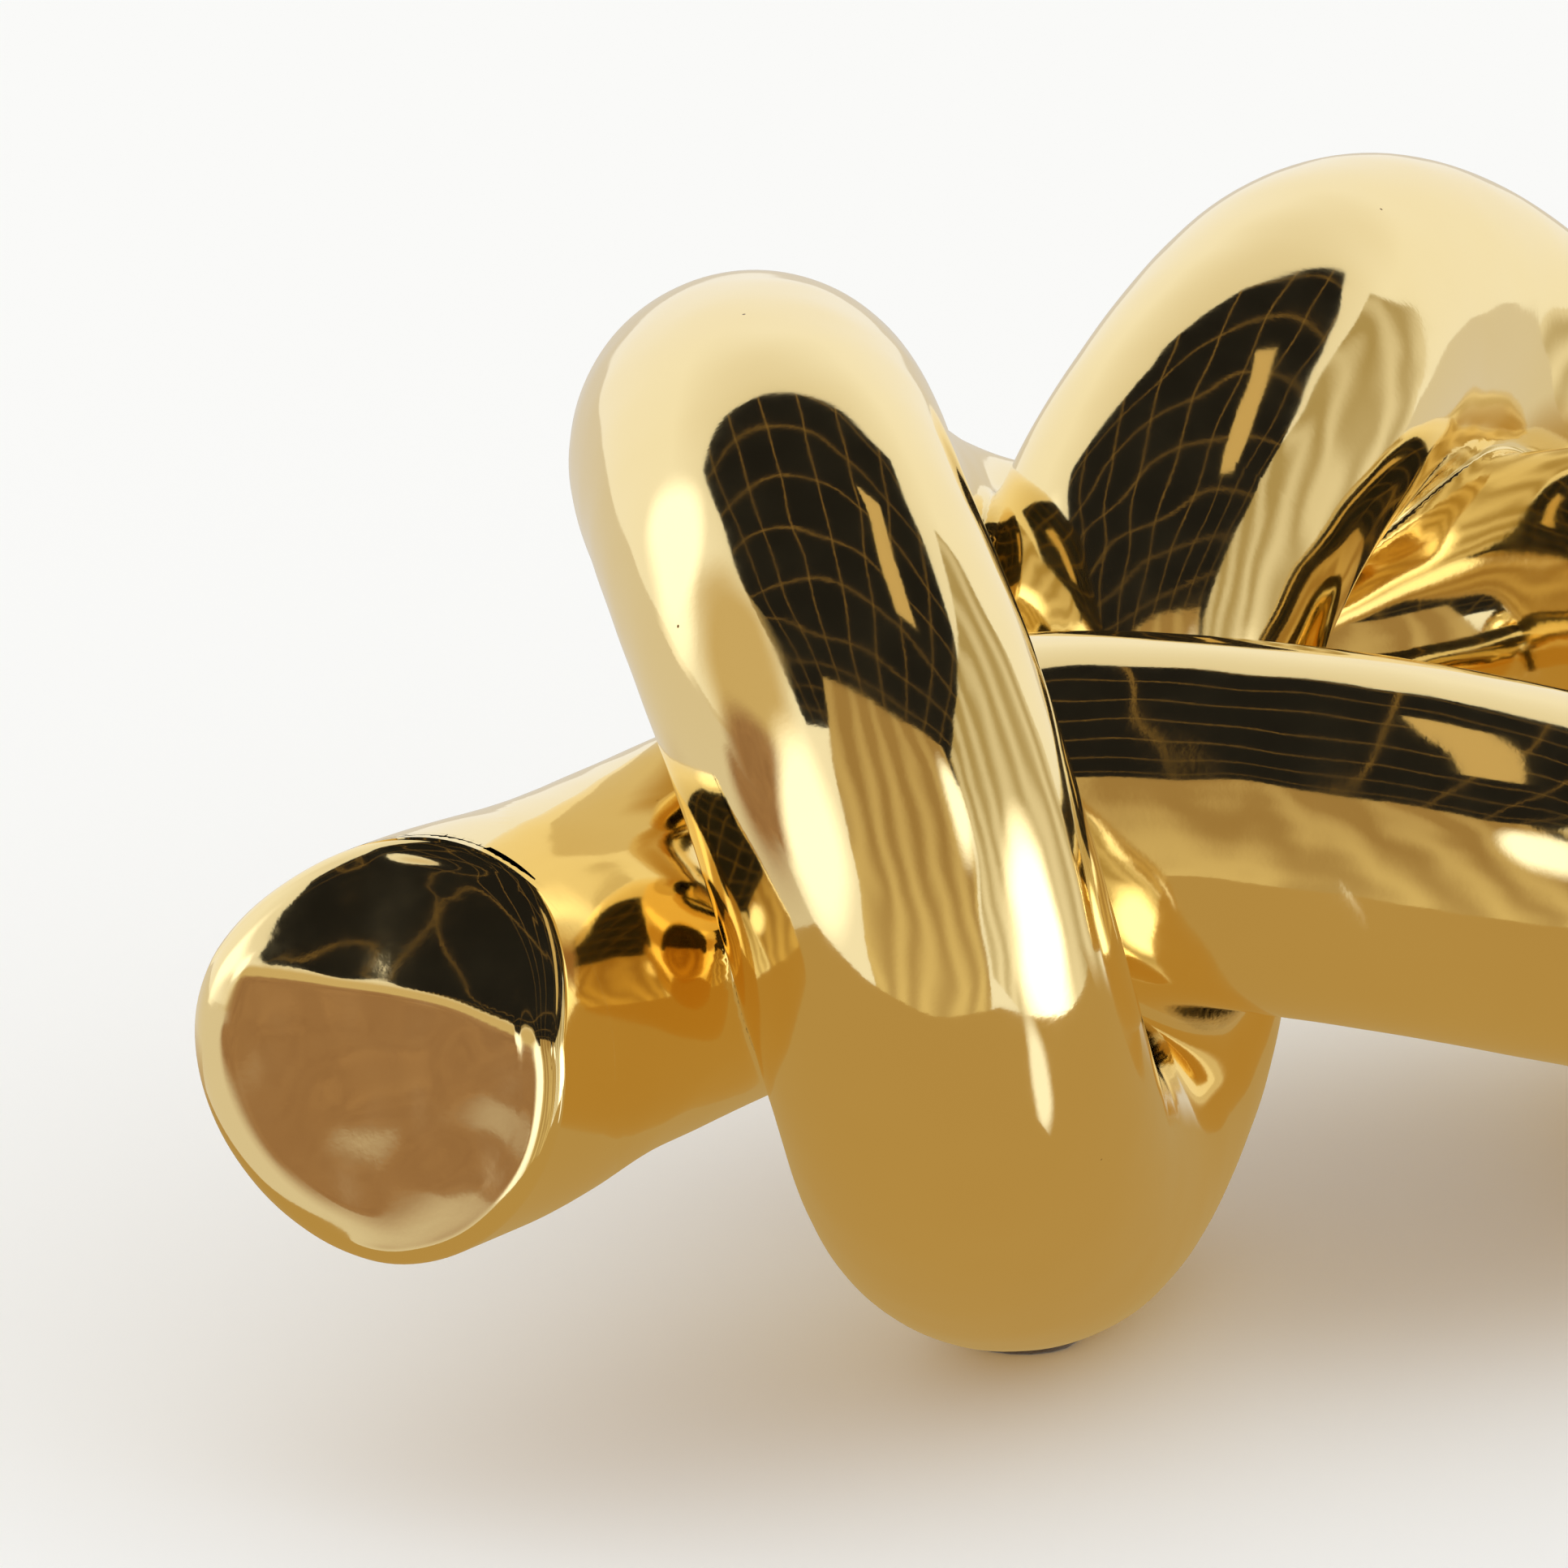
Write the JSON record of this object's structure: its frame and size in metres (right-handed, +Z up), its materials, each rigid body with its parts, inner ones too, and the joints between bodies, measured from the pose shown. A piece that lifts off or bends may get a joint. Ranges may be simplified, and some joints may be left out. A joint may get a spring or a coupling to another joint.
{
  "type": "knot sculpture",
  "caption": "Decorative sculpture of a thick round ceramic tube tied in a figure-eight knot, mirror-gold lustre over all of it, standing on two ring feet.",
  "frame": {"origin": "on the table, under the middle of the bounding box", "axes": "+Z up, +X to the right in the picture, +Y away from the viewer"},
  "size_m": [0.3502, 0.3436, 0.1774],
  "materials": {
    "gold_lustre": "mirror-gold lustre over glazed stoneware",
    "bare_clay": "unglazed fired clay slip",
    "felt": "brown felt"
  },
  "bodies": {
    "root": {"left_tail": "gold_lustre", "front_run": "gold_lustre", "right_ring_foot": "gold_lustre", "right_ring_back": "gold_lustre", "right_ring_arch": "gold_lustre", "centre_leg": "gold_lustre", "left_ring_foot": "gold_lustre", "left_ring_front": "gold_lustre", "left_ring_crown": "gold_lustre", "back_run": "gold_lustre", "right_tail": "gold_lustre", "left_end_cap": "gold_lustre", "right_end_cap": "gold_lustre", "slip_seam_left_tail": "bare_clay", "slip_seam_front_run": "bare_clay", "slip_seam_right_ring_foot": "bare_clay", "slip_seam_right_ring_back": "bare_clay", "slip_seam_right_ring_arch": "bare_clay", "slip_seam_centre_leg": "bare_clay", "slip_seam_left_ring_foot": "bare_clay", "slip_seam_left_ring_front": "bare_clay", "slip_seam_left_ring_crown": "bare_clay", "slip_seam_back_run": "bare_clay", "felt_pad_left": "felt", "felt_pad_right": "felt"}
  },
  "joints": []
}
